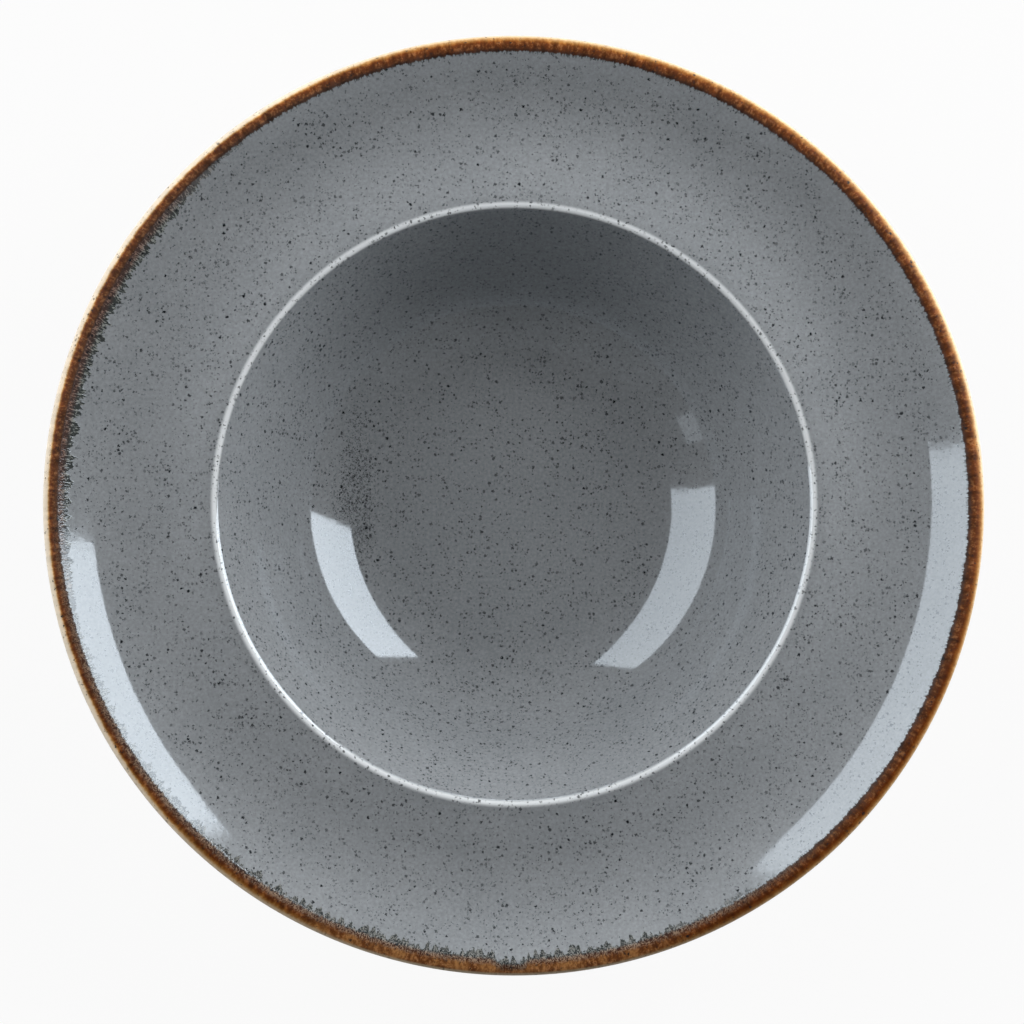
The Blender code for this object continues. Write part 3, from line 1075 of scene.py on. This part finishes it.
def studio_floor():
    """A pale floor, near white to the camera with a faint shadow, and clear when seen from below."""
    mesh = bpy.data.meshes.new("studio_floor")
    half = FLOOR_SIZE / 2
    corners = [(-half, -half, 0), (half, -half, 0), (half, half, 0), (-half, half, 0)]
    mesh.from_pydata(corners, [], [(0, 1, 2, 3)])
    floor = bpy.data.objects.new("studio_floor", mesh)
    floor.location.z = FLOOR_LEVEL
    bpy.context.scene.collection.objects.link(floor)
    material = bpy.data.materials.new("studio_floor")
    material.use_nodes = True
    graph = Graph(material.node_tree)
    material.node_tree.nodes.clear()
    paper = graph.node("ShaderNodeBsdfDiffuse", {"Color": FLOOR_PAPER})
    white = graph.node("ShaderNodeEmission", {"Strength": BACKDROP_WHITE})
    path = graph.node("ShaderNodeLightPath")
    # To all other rays the floor glows faintly, so that it lights the plate from below though it is no
    # lamp
    seen = graph.between(path.outputs["Is Camera Ray"], 0.0, 1.0, FLOOR_GLOW, 1 - SHADOW_SHARE)
    blend = graph.node("ShaderNodeMixShader", {"Fac": seen})
    graph.feed(blend.inputs[1], paper.outputs[0])
    graph.feed(blend.inputs[2], white.outputs[0])
    side = graph.node("ShaderNodeNewGeometry")
    from_below = graph.product(side.outputs["Backfacing"], path.outputs["Is Camera Ray"])
    clear = graph.node("ShaderNodeMixShader", {"Fac": from_below})
    graph.feed(clear.inputs[1], blend.outputs[0])
    graph.feed(clear.inputs[2], graph.node("ShaderNodeBsdfTransparent").outputs[0])
    output = graph.node("ShaderNodeOutputMaterial")
    graph.feed(output.inputs["Surface"], clear.outputs[0])
    mesh.materials.append(material)


def softbox(name, bearing, distance, height, front, back, radiance, lean=0, roll=0):
    """A rectangular lamp that the camera doesn't see, leaning over towards the plate.

    Its top edge lies at a distance from the plate's axis and a height over the rim, square to a
    bearing from +X towards +Y, and runs from a front end to a back end. Bearing, lean and roll are
    in degrees, and a roll turns the lamp's top to the back.
    """
    top = RIM_LEVEL + height
    out = heading(math.radians(bearing))
    along = left_of(out) if out.x > 0 else -left_of(out)
    slope = math.tan(math.radians(lean))
    foot_distance = distance + (top - LAMP_FOOT) * slope
    middle = out * ((distance + foot_distance) / 2) + along * ((front + back) / 2)
    inward = Vector((-out.x, -out.y, -slope))
    lamp = bpy.data.lights.new(name, "AREA")
    lamp.shape = "RECTANGLE"
    lamp.size = back - front
    lamp.size_y = (top - LAMP_FOOT) / math.cos(math.radians(lean))
    lamp.energy = radiance * math.pi * lamp.size * lamp.size_y
    box = bpy.data.objects.new(name, lamp)
    box.location = (middle.x, middle.y, (top + LAMP_FOOT) / 2)
    facing = inward.to_track_quat("-Z", "Y")
    rolled = Quaternion((0, 0, 1), math.radians(-roll if out.x > 0 else roll))
    box.rotation_euler = (facing @ rolled).to_euler()
    box.visible_camera = False
    bpy.context.scene.collection.objects.link(box)


def studio_light():
    """Softboxes and a glow that the glaze reflects, low strips that light the lip, and a faint fill."""
    softbox(
        "softbox_right", bearing=14, distance=1.10, height=1.43,
        front=-0.17, back=0.99, radiance=6.35, lean=13, roll=9,
    )
    softbox(
        "softbox_left", bearing=167, distance=1.00, height=1.60,
        front=-0.35, back=1.25, radiance=3.7, lean=15, roll=6,
    )
    softbox(
        "glow_left", bearing=202, distance=1.00, height=0.60, front=-0.08, back=0.08, radiance=0.8
    )
    softbox(
        "strip_right", bearing=0, distance=0.45, height=0.08, front=0.0, back=0.45, radiance=5.5
    )
    softbox("strip_back", bearing=90, distance=1.0, height=0.15, front=-0.7, back=0.7, radiance=6.2)
    softbox("card_front", bearing=-90, distance=1.0, height=1.60, front=-1.2, back=1.2, radiance=0.11)

    # The world is white to the camera alone
    world = bpy.data.worlds.new("studio")
    bpy.context.scene.world = world
    world.use_nodes = True
    graph = Graph(world.node_tree)
    background = world.node_tree.nodes["Background"]
    background.inputs["Color"].default_value = (1, 1, 1, 1)
    path = graph.node("ShaderNodeLightPath")
    strength = graph.between(path.outputs["Is Camera Ray"], 0.0, 1.0, FILL, BACKDROP_WHITE, smooth=False)
    graph.feed(background.inputs["Strength"], strength)


# Camera

IMAGE_SIZE = 1024
PLATE_CENTRE_PIXEL = (514.4, 503.2)
FRAME_WIDTH = 0.2938
CAMERA_DISTANCE = 1.40
CAMERA_LEFT = math.radians(1.0)
CAMERA_FRONT = math.radians(3.2)
SENSOR_WIDTH = 36.0


def studio_camera():
    """A camera high over the plate, a little to its left and front."""
    data = bpy.data.cameras.new("camera")
    data.sensor_width = SENSOR_WIDTH
    data.lens = SENSOR_WIDTH * CAMERA_DISTANCE / FRAME_WIDTH
    camera = bpy.data.objects.new("camera", data)
    bpy.context.scene.collection.objects.link(camera)
    per_pixel = FRAME_WIDTH / IMAGE_SIZE
    aim_x = (IMAGE_SIZE / 2 - PLATE_CENTRE_PIXEL[0]) * per_pixel
    aim_y = (PLATE_CENTRE_PIXEL[1] - IMAGE_SIZE / 2) * per_pixel
    aim = Vector((aim_x, aim_y, PLATE_HEIGHT - COAT - LIP_ROUND))
    back = Vector((-math.tan(CAMERA_LEFT), -math.tan(CAMERA_FRONT), 1)).normalized()
    side = Vector((0, 1, 0)).cross(back).normalized()
    up = back.cross(side)
    turn = Matrix((side, up, back)).transposed()
    camera.matrix_world = Matrix.Translation(aim + back * CAMERA_DISTANCE) @ turn.to_4x4()
    bpy.context.scene.camera = camera


build_plate()
studio_floor()
studio_light()
studio_camera()
bpy.context.scene.view_settings.view_transform = "Standard"
